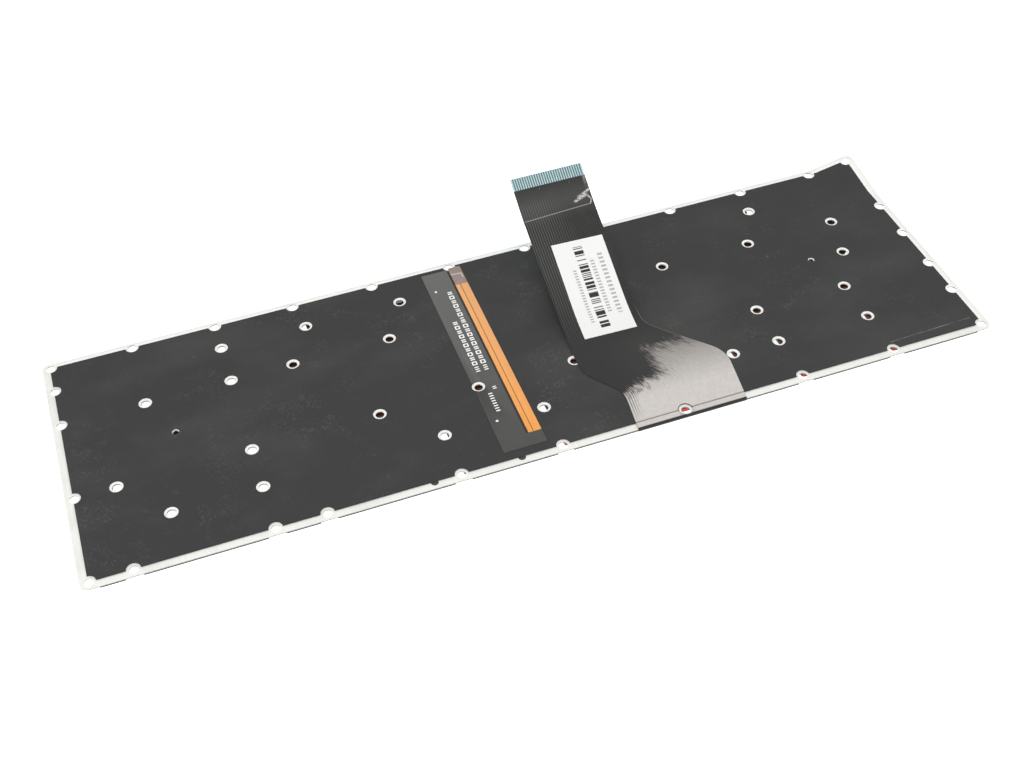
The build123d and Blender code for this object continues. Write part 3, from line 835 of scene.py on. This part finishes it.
def phosphor_resin():
    # Lamp in clear resin over yellow phosphor: glossy, pale yellow.
    material, tree, shader, place = material_of("phosphor_resin", colours().lamp, 0.2, ior=1.53)
    paint(tree, shader, (patches(tree, place, 0.2 * MM, 0.3, 0.7, 0.4, 2), linear("#F6F1D8")))
    return material


def white_paper():
    # Matt paper sweep of a product table: rough, with hardly any shine. It gives off white light too, so
    # that it comes out as pure white as the overexposed paper in the photograph.
    material, tree, shader, place = material_of("matt_white_paper", colours().floor, 0.9, others={
        "Specular IOR Level": 0.1, "Emission Color": (1, 1, 1, 1), "Emission Strength": 1.0,
    })
    paint(tree, shader, (patches(tree, place, 2 * MM, 0.3, 0.8, 0.05), linear("#EDEDED")))
    return material


# Flat sheets

def flat_sheet(name, outline, low, high, holes, *materials):
    """Sheet with holes, its Esc corner bent up. A second material is for its cut sides."""
    bm = bmesh.new()
    add_prism(bm, outline, low, high)
    piece = make_piece(name, bm, *materials)
    cut(piece, holes, low - MM, high + MM)
    for face in piece.data.polygons:
        face.material_index = 1 if abs(face.normal.z) < 0.5 and len(materials) > 1 else 0
    bend_corner(piece)
    return piece


def round_holes(places, diameter):
    return [round_outline(place, diameter) for place in places]


# Wide tail

def tail_line():
    """The tail's inner side, from under the plate to its tip: places in (y, z), headings and lengths."""
    place = np.array((tail_root - plate_half.y, plate_z))
    heading = math.pi
    places, headings, lengths = [place], [heading], [0.0]
    for run, radius, degrees in tail_legs:
        turn = math.radians(degrees)
        length = run + radius * abs(turn)
        steps = max(math.ceil(length / MM), math.ceil(abs(degrees) / 10))
        chord = 2 * radius * math.sin(abs(turn) / steps / 2) if degrees else length / steps
        for _ in range(steps):
            middle = heading + turn / steps / 2
            place = place + chord * np.array((math.cos(middle), math.sin(middle)))
            heading += turn / steps
            places.append(place)
            headings.append(heading)
            lengths.append(lengths[-1] + length / steps)
    return np.array(places), np.array(headings), np.array(lengths)


def lifted_line(lift):
    """The tail's line, moved outward."""
    places, headings, lengths = tail_line()
    outward = np.stack((-np.sin(headings), np.cos(headings)), axis=1)
    return places + lift * outward, lengths


def soft_corners(corners, reaches, steps=8):
    """Line through these corners in millimetres, rounded this far from each inner one."""
    points = [Vector(corners[0])]
    for before, corner, after, reach in zip(corners, corners[1:], corners[2:], reaches):
        middle = Vector(corner)
        start = middle + (Vector(before) - middle).normalized() * reach
        end = middle + (Vector(after) - middle).normalized() * reach
        for step in range(steps + 1):
            t = step / steps
            points.append(start * (1 - t) ** 2 + middle * 2 * t * (1 - t) + end * t ** 2)
    return np.array([*points, Vector(corners[-1])]) * MM


def tail_sides(y):
    """The tail's left and right sides at a place along Y."""
    left = soft_corners(tail_left_corners, tail_left_reaches)
    right = soft_corners(tail_right_corners, tail_right_reaches)
    from_edge = y + plate_half.y
    corner_x = tail_screw().x
    return [corner_x + np.interp(from_edge, side[:, 1], side[:, 0]) for side in (left, right)]


def add_shell(bm, under, over, map_name, places):
    """Closed sheet between two grids of points, with its own places on it as a UV map."""
    layer = bm.loops.layers.uv.get(map_name) or bm.loops.layers.uv.new(map_name)
    grids = [[[bm.verts.new(point) for point in row] for row in grid] for grid in (under, over)]
    spots = {}
    for grid in grids:
        for row, row_places in zip(grid, places):
            spots.update(zip(row, row_places))
    last_row, last_column = len(under) - 1, len(under[0]) - 1
    faces = []
    for grid in grids:
        for r in range(last_row):
            for c in range(last_column):
                faces.append((grid[r][c], grid[r + 1][c], grid[r + 1][c + 1], grid[r][c + 1]))
    inner, outer = grids
    for c in range(last_column):
        for r in (0, last_row):
            faces.append((inner[r][c], inner[r][c + 1], outer[r][c + 1], outer[r][c]))
    for r in range(last_row):
        for c in (0, last_column):
            faces.append((inner[r][c], inner[r + 1][c], outer[r + 1][c], outer[r][c]))
    for corners in faces:
        face = bm.faces.new(corners)
        for loop in face.loops:
            loop[layer].uv = spots[loop.vert]


def tail_strip(bm, low, high, first, last, span, columns=24):
    """Stretch of the tail between two lengths, as wide as span(y) says."""
    grids = []
    for lift in (low, high):
        line, lengths = lifted_line(lift)
        inside = [s for s in lengths if first < s < last]
        rows = []
        for s in [first, *inside, last]:
            y, z = np.interp(s, lengths, line[:, 0]), np.interp(s, lengths, line[:, 1])
            left, right = span(y)
            rows.append([(left + (right - left) * c / columns, y, z) for c in range(columns + 1)])
        grids.append(rows)
    sides = [tail_width * c / columns for c in range(columns + 1)]
    places = [[(side, lengths[-1] - s) for side in sides] for s in [first, *inside, last]]
    add_shell(bm, *grids, "tail", places)


def wide_tail():
    bm = bmesh.new()
    total = tail_line()[2][-1]
    tail_strip(bm, 0, tail_thickness, 0, total - contact_run, tail_sides)
    return bm


def tail_band(_):
    """Sides of the tail's straight end, the same at every place along Y."""
    left = tail_screw().x + tail_left_corners[-1][0] * MM
    return left, left + tail_width


def upper_run(y, lift=0.0):
    """Height and length of the tail past its fold, this far off its inner side, at a place along Y."""
    line, lengths = lifted_line(lift)
    upper = lengths > tail_fold_end
    return [float(np.interp(y, line[upper, 0], values[upper])) for values in (line[:, 1], lengths)]


def label_grid(lift, rows=24, columns=8):
    """Points of the label, and its own places, on the tail's outer side."""
    centre = Vector((tail_screw().x, -plate_half.y)) + label_place
    turn = Matrix.Rotation(label_turn, 2)
    points, places = [], []
    for r in range(rows + 1):
        spots = [Vector((c / columns, r / rows)) * label_size for c in range(columns + 1)]
        plan = [centre + turn @ (spot - label_size / 2) for spot in spots]
        points.append([(p.x, p.y, upper_run(p.y, lift)[0]) for p in plan])
        places.append([tuple(spot) for spot in spots])
    return points, places


# Keycaps and what carries them

def cap_plan(low, high):
    """Centre and half sizes of the cap in a key's box, clear of the rim's screws at both ends."""
    low_x = max(low.x, key_rows_low_x + sizes().end_clearance)
    high_x = min(high.x, key_rows_high_x - sizes().end_clearance)
    return ((low_x + high_x) / 2, (low.y + high.y) / 2), (high_x - low_x) / 2, (high.y - low.y) / 2


def add_cap(bm, low, high, body=0, paint=1):
    """Hollow keycap in a box, its dished top down: rounded corners, soft top edge and open skirt."""
    centre, half_x, half_y = cap_plan(low, high)
    corner, wall, dish = sizes().cap_corner, sizes().cap_wall, sizes().cap_dish

    def ring(inset, z, radius):
        reaches = (half_x - inset, half_y - inset)
        return add_ring(bm, rounded_outline(centre, *reaches, max(radius, smallest_corner), steps=5), z)

    # Insets and heights, from the skirt's rim to the middle of the top, and from the rim to the ceiling
    edge_inset = (cap_height - cap_edge) * math.tan(cap_draft)
    outer = [(0, cap_height), (edge_inset, cap_edge)]
    for step in range(1, 4):
        turn = math.pi / 2 * step / 3
        outer.append((edge_inset + cap_edge * (1 - math.cos(turn)), cap_edge * (1 - math.sin(turn))))
    top_inset = outer[-1][0]
    outer += [(top_inset + 0.8 * MM, dish * 0.45), (top_inset + 2.0 * MM, dish)]
    inner = [
        (wall, cap_height), (wall + 0.05 * MM, cap_ceiling + 0.25 * MM), (wall + 0.3 * MM, cap_ceiling),
    ]
    rings = [ring(inset, z, corner - inset * 0.3) for inset, z in outer]
    bridge(bm, rings[0], rings[1], body)
    bridge_all(bm, rings[1:], paint)
    top = bm.faces.new(rings[-1])
    top.material_index = paint
    hollow = [ring(inset, z, corner - inset * 0.7) for inset, z in inner]
    bridge_all(bm, [rings[0], *hollow], body)
    bm.faces.new(hollow[-1]).material_index = body


def add_dome(bm, x, y, base, sides=20):
    """Rubber dome standing on the membrane, with a foot, a thin bell and a stem pad for the cap."""
    profile = (
        (1.0, 0.0), (1.0, 0.07), (0.86, 0.1), (0.78, 0.3), (0.68, 0.5),
        (0.55, 0.62), (0.5, 0.72), (0.48, 1.0), (0.3, 1.0), (0.28, 0.9),
    )
    rings = []
    for width, height in profile:
        outline = round_outline((x, y), base * width, sides)
        rings.append(add_ring(bm, outline, membrane_z - rise * height))
    bridge_all(bm, rings)
    bm.faces.new(rings[0])
    bm.faces.new(rings[-1])


def add_link(bm, x, y, span, length, lean, finish=1):
    """U-shaped scissor link with soft edges, leaning from the membrane to the cap's ceiling."""
    half_x, half_y = span / 2, length / 2
    inner_x, inner_y = half_x - link_bar, half_y - link_bar
    outline = [
        (-half_x, -half_y), (half_x, -half_y), (half_x, half_y), (inner_x, half_y),
        (inner_x, -inner_y), (-inner_x, -inner_y), (-inner_x, half_y), (-half_x, half_y),
    ]
    part = bmesh.new()
    add_prism(part, outline, -link_thickness / 2, link_thickness / 2)
    soften(part, link_edge)
    half_rise = rise / 2 - link_seat
    half_diagonal = math.hypot(length, link_thickness) / 2
    angle = math.asin(half_rise / half_diagonal) - math.atan2(link_thickness, length)
    middle = Vector((x, y, (membrane_z + cap_ceiling) / 2))
    bmesh.ops.transform(
        part, matrix=Matrix.Translation(middle) @ Matrix.Rotation(lean * angle, 4, "X"), verts=part.verts
    )
    made = {vert: bm.verts.new(vert.co) for vert in part.verts}
    for face in part.faces:
        bm.faces.new([made[vert] for vert in face.verts]).material_index = finish
    part.free()


def add_mechanism(bm, low, high):
    """Dome and two links in the space between a cap and the membrane."""
    (x, y), half_x, half_y = cap_plan(low, high)
    margin = sizes().cap_wall + link_room
    length = min(sizes().link_length, 2 * (half_y - margin))
    span = min(sizes().link_span, 2 * (half_x - margin))
    add_dome(bm, x, y, sizes().dome_base)
    add_link(bm, x, y, span, length, 1)
    add_link(bm, x, y, span - inner_link_step, length, -1)


def solid_boxes(node):
    """Boxes of a CAD node's separate solids, from one end to the other."""
    mesh = frame["nodes"][node].data
    weld = 0.001 * MM
    rim_height = cap_height + 0.1 * MM
    spots = {}
    leaders = []
    for vert in mesh.vertices:
        key = tuple(round(c / weld) for c in vert.co)
        leaders.append(spots.setdefault(key, vert.index))

    def leader(k):
        while leaders[k] != k:
            leaders[k] = leaders[leaders[k]]
            k = leaders[k]
        return k

    for edge in mesh.edges:
        first, second = (leader(k) for k in edge.vertices)
        leaders[max(first, second)] = min(first, second)
    groups = {}
    for vert in mesh.vertices:
        groups.setdefault(leader(vert.index), []).append(vert.co)
    boxes = []
    for points in groups.values():
        skirt = [p for p in points if p.z < rim_height]
        low = Vector([min(p[axis] for p in skirt) for axis in range(3)])
        high = Vector([max(p[axis] for p in skirt) for axis in range(3)])
        boxes.append((low, high))
    return sorted(boxes, key=lambda box: (round(box[0].x, 5), round(box[0].y, 5)))


# Operators

class KEYBOARD_OT_plate(bpy.types.Operator):
    """Build the plate with its screw, pin and plain holes"""
    bl_idname = "keyboard.plate"
    bl_label = "Plate"

    def execute(self, context):
        outline = rounded_outline((0, 0), *plate_half, sizes().plate_corner)
        holes = round_holes(inner_screws() + rim_screws(), sizes().screw_hole)
        holes += round_holes(locating_places(), sizes().pin_hole)
        holes += round_holes(slot_places(), sizes().slot_hole)
        finishes = (lacquered_aluminium(), sheared_aluminium())
        piece = flat_sheet("plate", outline, plate_z, guide_z, holes, *finishes)
        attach(piece, "keyboard")
        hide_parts("base_plate")
        return {"FINISHED"}


class KEYBOARD_OT_films(bpy.types.Operator):
    """Build the light guide and the black film over the back"""
    bl_idname = "keyboard.films"
    bl_label = "Films"

    def execute(self, context):
        screws = inner_screws() + rim_screws()
        others = round_holes(locating_places(), sizes().pin_hole + pin_room) + [lamp_slot()]
        guide_half = film_half - Vector((guide_inset, guide_inset))
        outline = rounded_outline((guide_shift, guide_shift), *guide_half, guide_corner)
        holes = round_holes(screws, sizes().guide_hole) + others
        guide = flat_sheet("guide", outline, guide_z, film_z, holes, milky_film())
        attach(guide, "keyboard")
        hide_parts("light_guide")
        outline = rounded_outline((0, 0), *film_half, film_corner)
        holes = round_holes(screws, sizes().film_hole) + others
        film = flat_sheet("film", outline, film_z, back_z, holes, black_polyester())
        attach(film, "keyboard")
        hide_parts("back_film")
        return {"FINISHED"}


class KEYBOARD_OT_membrane(bpy.types.Operator):
    """Build the membrane under the plate and the wide tail that folds out of it"""
    bl_idname = "keyboard.membrane"
    bl_label = "Membrane and wide tail"

    def execute(self, context):
        laminate = printed_laminate()
        half_x = plate_half.x - membrane_inset
        half_y = plate_half.y - (membrane_inset - membrane_proud) / 2
        middle = (0, -(membrane_inset + membrane_proud) / 2)
        outline = rounded_outline(middle, half_x, half_y, membrane_corner)
        holes = round_holes(inner_screws() + locating_places(), sizes().membrane_hole)
        reach = membrane_notch / 2
        holes += [rounded_outline(place, reach, reach, notch_corner) for place in near_screws()]
        sheet = flat_sheet("circuit_sheet", outline, membrane_z, plate_z, holes, laminate)
        tail = make_piece("wide_tail", wide_tail(), laminate)
        cut(tail, round_holes([tail_screw()], tail_notch), membrane_z - MM, back_z + 2 * MM)
        for piece in (sheet, tail):
            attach(piece, "keyboard")
            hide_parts("membrane")
        return {"FINISHED"}


class KEYBOARD_OT_tail_tip(bpy.types.Operator):
    """Build the wide tail's contacts and stiffener"""
    bl_idname = "keyboard.tail_tip"
    bl_label = "Tail contacts"

    def execute(self, context):
        film = contact_polyester()
        total = tail_line()[2][-1]
        bm = bmesh.new()
        tail_strip(bm, 0, tail_thickness, total - contact_run, total, tail_band)
        bare_film = make_piece("contact_film", bm, film)
        bm = bmesh.new()
        tip_y = lifted_line(0)[0][-1, 0]
        start = upper_run(tip_y - stiffener_run)[1]
        tail_strip(bm, -stiffener_thickness, 0, start, total, tail_band)
        stiffener = make_piece("stiffener", bm, film)
        bm = bmesh.new()
        left, right = tail_band(0)
        pitch = (right - left) / (contact_count + 1)
        heights = (tail_thickness, tail_thickness + contact_height)
        lengths = (total - contact_run, total - contact_end)
        for k in range(contact_count):
            middle = left + pitch * (k + 1)
            span = (middle - contact_half, middle + contact_half)
            tail_strip(bm, *heights, *lengths, lambda _, span=span: span, columns=1)
        contacts = make_piece("contacts", bm, carbon_ink())
        for piece, node, slot in (
            (bare_film, "membrane", "membrane"), (stiffener, "tail_stiffener", "stiffener"),
            (contacts, "membrane", "membrane"),
        ):
            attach(piece, "keyboard")
            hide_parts(node)
        return {"FINISHED"}


class KEYBOARD_OT_label(bpy.types.Operator):
    """Build the paper label, which follows the wide tail"""
    bl_idname = "keyboard.label"
    bl_label = "Label"

    def execute(self, context):
        under, places = label_grid(tail_thickness)
        over, _ = label_grid(tail_thickness + label_thickness)
        bm = bmesh.new()
        add_shell(bm, under, over, "label", places)
        label = make_piece("paper_label", bm, label_paper())
        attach(label, "keyboard")
        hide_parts("tail_label")
        return {"FINISHED"}


class KEYBOARD_OT_light_strip(bpy.types.Operator):
    """Build the light strip with its printed marks and lamps"""
    bl_idname = "keyboard.light_strip"
    bl_label = "Light strip"

    def execute(self, context):
        low_y, high_y = strip_low.y, strip_high.y
        right, foot_right = strip_left + strip_width, strip_left + foot_width
        outline = [
            (strip_left, low_y), (foot_right, low_y), (foot_right, low_y + foot_length),
            (right, low_y + foot_length), (right, high_y), (strip_left, high_y),
        ]
        bm = bmesh.new()
        add_prism(bm, outline, back_z, strip_high.z)
        strip = make_piece("strip_board", bm, grey_coverlay())
        cut(strip, round_holes(inner_screws(), sizes().film_hole), back_z - MM, back_z + MM)
        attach(strip, "keyboard")
        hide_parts("light_strip")
        marks = make_piece("strip_marks", strip_marks(), legend_ink())
        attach(marks, "keyboard")
        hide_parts("light_strip")
        frame["nodes"]["side_lamps"].data.materials.clear()
        frame["nodes"]["side_lamps"].data.materials.append(phosphor_resin())
        return {"FINISHED"}


def strip_marks():
    """White test pads, pad frames and dashes printed on the light strip, placed in millimetres."""
    bm = bmesh.new()
    low, high = strip_high.z, strip_high.z + mark_height

    def pad(x, y, half_x, half_y, radius):
        outline = rounded_outline((x * MM, y * MM), half_x * MM, half_y * MM, radius * MM, 3)
        add_prism(bm, outline, low, high)

    def pad_frame(x, y):
        outline = rounded_outline((x * MM, y * MM), 1.0 * MM, 1.0 * MM, 0.2 * MM, 2)
        hole = rounded_outline((x * MM, y * MM), 0.5 * MM, 0.5 * MM, 0.08 * MM, 2)
        outer, inner = add_ring(bm, outline, high), add_ring(bm, hole, high)
        outer_low, inner_low = add_ring(bm, outline, low), add_ring(bm, hole, low)
        bridge_all(bm, [outer, inner, inner_low, outer_low, outer])

    for y in (40.1, -33.9):
        pad(-20.0, y, 0.5, 0.5, 0.49)
    columns = ((-18.3, -3.2, 5, 5.2), (-15.0, -3.2, 5, 5.2), (-15.0, 24.4, 3, 5.2))
    for x, first, count, pitch in columns:
        for k in range(count):
            y = first + k * pitch
            pad_frame(x, y)
            pad(x, y + 2.1, 0.9, 0.3, 0.1)
            pad(x, y + 3.1, 0.9, 0.3, 0.1)
        for k in range(3):
            pad(x, first - 2.2 - k * 1.1, 0.8, 0.26, 0.1)
    pad(-15.4, -17.2, 0.7, 0.22, 0.1)
    pad(-15.4, -18.1, 0.7, 0.22, 0.1)
    for k in range(8):
        pad(-17.9, -29.2 + k * 1.3, 0.8, 0.28, 0.1)
    return bm


class KEYBOARD_OT_light_tail(bpy.types.Operator):
    """Build the orange tail along the back and the brown cover on its plug end"""
    bl_idname = "keyboard.light_tail"
    bl_label = "Light tail"

    def execute(self, context):
        for name, node, slot, material in (
            ("orange_tail", "light_tail", "light_tail", orange_polyimide()),
            ("tail_cover", "light_tail_tip", "light_tail_cover", brown_cover_film()),
        ):
            low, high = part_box(node)
            centre = ((low.x + high.x) / 2, (low.y + high.y) / 2)
            bm = bmesh.new()
            half_x, half_y = (high.x - low.x) / 2, (high.y - low.y) / 2
            outline = rounded_outline(centre, half_x, half_y, light_tail_corner, 4)
            add_prism(bm, outline, low.z, high.z)
            soften(bm, light_tail_edge)
            piece = make_piece(name, bm, material)
            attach(piece, "keyboard")
            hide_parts(node)
        return {"FINISHED"}


class KEYBOARD_OT_moving_keys(bpy.types.Operator):
    """Build each keycap that travels, with the dome and scissor links that carry it"""
    bl_idname = "keyboard.moving_keys"
    bl_label = "Moving keys"

    def execute(self, context):
        body, paint = red_polycarbonate(), black_key_paint()
        rubber, acetal = silicone_rubber(), natural_acetal()
        for joint in frame["joints"]:
            key = joint["child"]
            low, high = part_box(key)
            bm = bmesh.new()
            add_cap(bm, low, high)
            cap = make_piece(f"cap_of_{key}", bm, body, paint)
            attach(cap, key)
            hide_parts(key)
            bm = bmesh.new()
            add_mechanism(bm, low, high)
            carrier = make_piece(f"carrier_of_{key}", bm, rubber, acetal)
            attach(carrier, "keyboard")
            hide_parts("rubber_domes", "scissor_outer_links", "scissor_inner_links")
            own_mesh(carrier)
        return {"FINISHED"}


class KEYBOARD_OT_fixed_keys(bpy.types.Operator):
    """Build the keycaps and carriers of the keys that stay in place"""
    bl_idname = "keyboard.fixed_keys"
    bl_label = "Fixed keys"

    def execute(self, context):
        materials = [bpy.data.materials[name] for name in (
            "red_translucent_polycarbonate", "matt_black_key_paint", "silicone_rubber", "natural_acetal",
        )]
        for node in ("function_row_keys", "number_pad_keys", "sign_and_control_keys"):
            caps, carriers = bmesh.new(), bmesh.new()
            for low, high in solid_boxes(node):
                add_cap(caps, low, high)
                add_mechanism(carriers, low, high)
            for name, bm, finishes, slot in (
                (f"caps_of_{node}", caps, materials[:2], "keys"),
                (f"carriers_of_{node}", carriers, materials[2:], "links"),
            ):
                piece = make_piece(name, bm, *finishes)
                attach(piece, "keyboard")
                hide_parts(node)
        return {"FINISHED"}


class KEYBOARD_OT_stage(bpy.types.Operator):
    """Build the floor, the lights and the camera"""
    bl_idname = "keyboard.stage"
    bl_label = "Stage"

    def execute(self, context):
        bm = bmesh.new()
        outline = rounded_outline((0, 0), floor_half, floor_half, floor_corner, 12)
        add_prism(bm, outline, -floor_thickness, -floor_gap)
        floor = make_piece("floor", bm, white_paper())

        scene = context.scene
        scene.view_settings.view_transform = "Standard"
        world = bpy.data.worlds.new("studio")
        world.use_nodes = True
        background = world.node_tree.nodes["Background"]
        background.inputs["Color"].default_value = (1, 1, 1, 1)
        background.inputs["Strength"].default_value = 0.54
        scene.world = world
        softbox("front", (-0.3, -0.85, 1.1), target=(0, 0, 0), side=1.0, power=11)
        softbox("left", (-1.2, 0.1, 0.8), target=(0, 0, 0), side=0.9, power=2.5)
        softbox("behind", (0.43, 0.70, 0.87), target=(0.045, -0.04, 0.005), side=0.8, power=0.3)
        softbox("right", (1.25, 0.0, 0.7), target=(0, 0, 0), side=0.9, power=2.4)

        camera = bpy.data.cameras.new("camera")
        camera.lens = camera_lens
        camera.sensor_width = 36
        camera.clip_start = 0.01
        eye = bpy.data.objects.new("camera", camera)
        scene.collection.objects.link(eye)
        eye.matrix_world = Matrix.Translation(camera_place) @ camera_axes.transposed().to_4x4()
        scene.camera = eye
        return {"FINISHED"}


def softbox(name, place, target, side, power):
    """Square area light that faces a place."""
    light = bpy.data.lights.new(name, "AREA")
    light.shape = "SQUARE"
    light.size = side
    light.energy = power
    lamp = bpy.data.objects.new(name, light)
    bpy.context.scene.collection.objects.link(lamp)
    lamp.location = place
    lamp.rotation_euler = (Vector(target) - Vector(place)).to_track_quat("-Z", "Y").to_euler()


operators = (
    KEYBOARD_OT_plate, KEYBOARD_OT_films, KEYBOARD_OT_membrane, KEYBOARD_OT_tail_tip, KEYBOARD_OT_label,
    KEYBOARD_OT_light_strip, KEYBOARD_OT_light_tail, KEYBOARD_OT_moving_keys, KEYBOARD_OT_fixed_keys,
    KEYBOARD_OT_stage,
)


class KEYBOARD_PT_panel(bpy.types.Panel):
    """Lists the keyboard's operators, sizes and colours"""
    bl_idname = "KEYBOARD_PT_panel"
    bl_label = "Laptop keyboard"
    bl_space_type = "VIEW_3D"
    bl_region_type = "UI"
    bl_category = "Keyboard"

    def draw(self, context):
        column = self.layout.column()
        for operator in operators:
            column.operator(operator.bl_idname)
        for group in (context.scene.keyboard_sizes, context.scene.keyboard_colours):
            for name in group.__annotations__:
                column.prop(group, name)


classes = (KeyboardSizes, KeyboardColours, *operators, KEYBOARD_PT_panel)


def register():
    for cls in classes:
        bpy.utils.register_class(cls)
    bpy.types.Scene.keyboard_sizes = bpy.props.PointerProperty(type=KeyboardSizes)
    bpy.types.Scene.keyboard_colours = bpy.props.PointerProperty(type=KeyboardColours)


def unregister():
    del bpy.types.Scene.keyboard_colours
    del bpy.types.Scene.keyboard_sizes
    for cls in reversed(classes):
        bpy.utils.unregister_class(cls)


def main():
    register()
    bpy.ops.keyboard.plate()
    bpy.ops.keyboard.films()
    bpy.ops.keyboard.membrane()
    bpy.ops.keyboard.tail_tip()
    bpy.ops.keyboard.label()
    bpy.ops.keyboard.light_strip()
    bpy.ops.keyboard.light_tail()
    bpy.ops.keyboard.moving_keys()
    bpy.ops.keyboard.fixed_keys()
    bpy.ops.keyboard.stage()


if __name__ == "__main__":
    main()
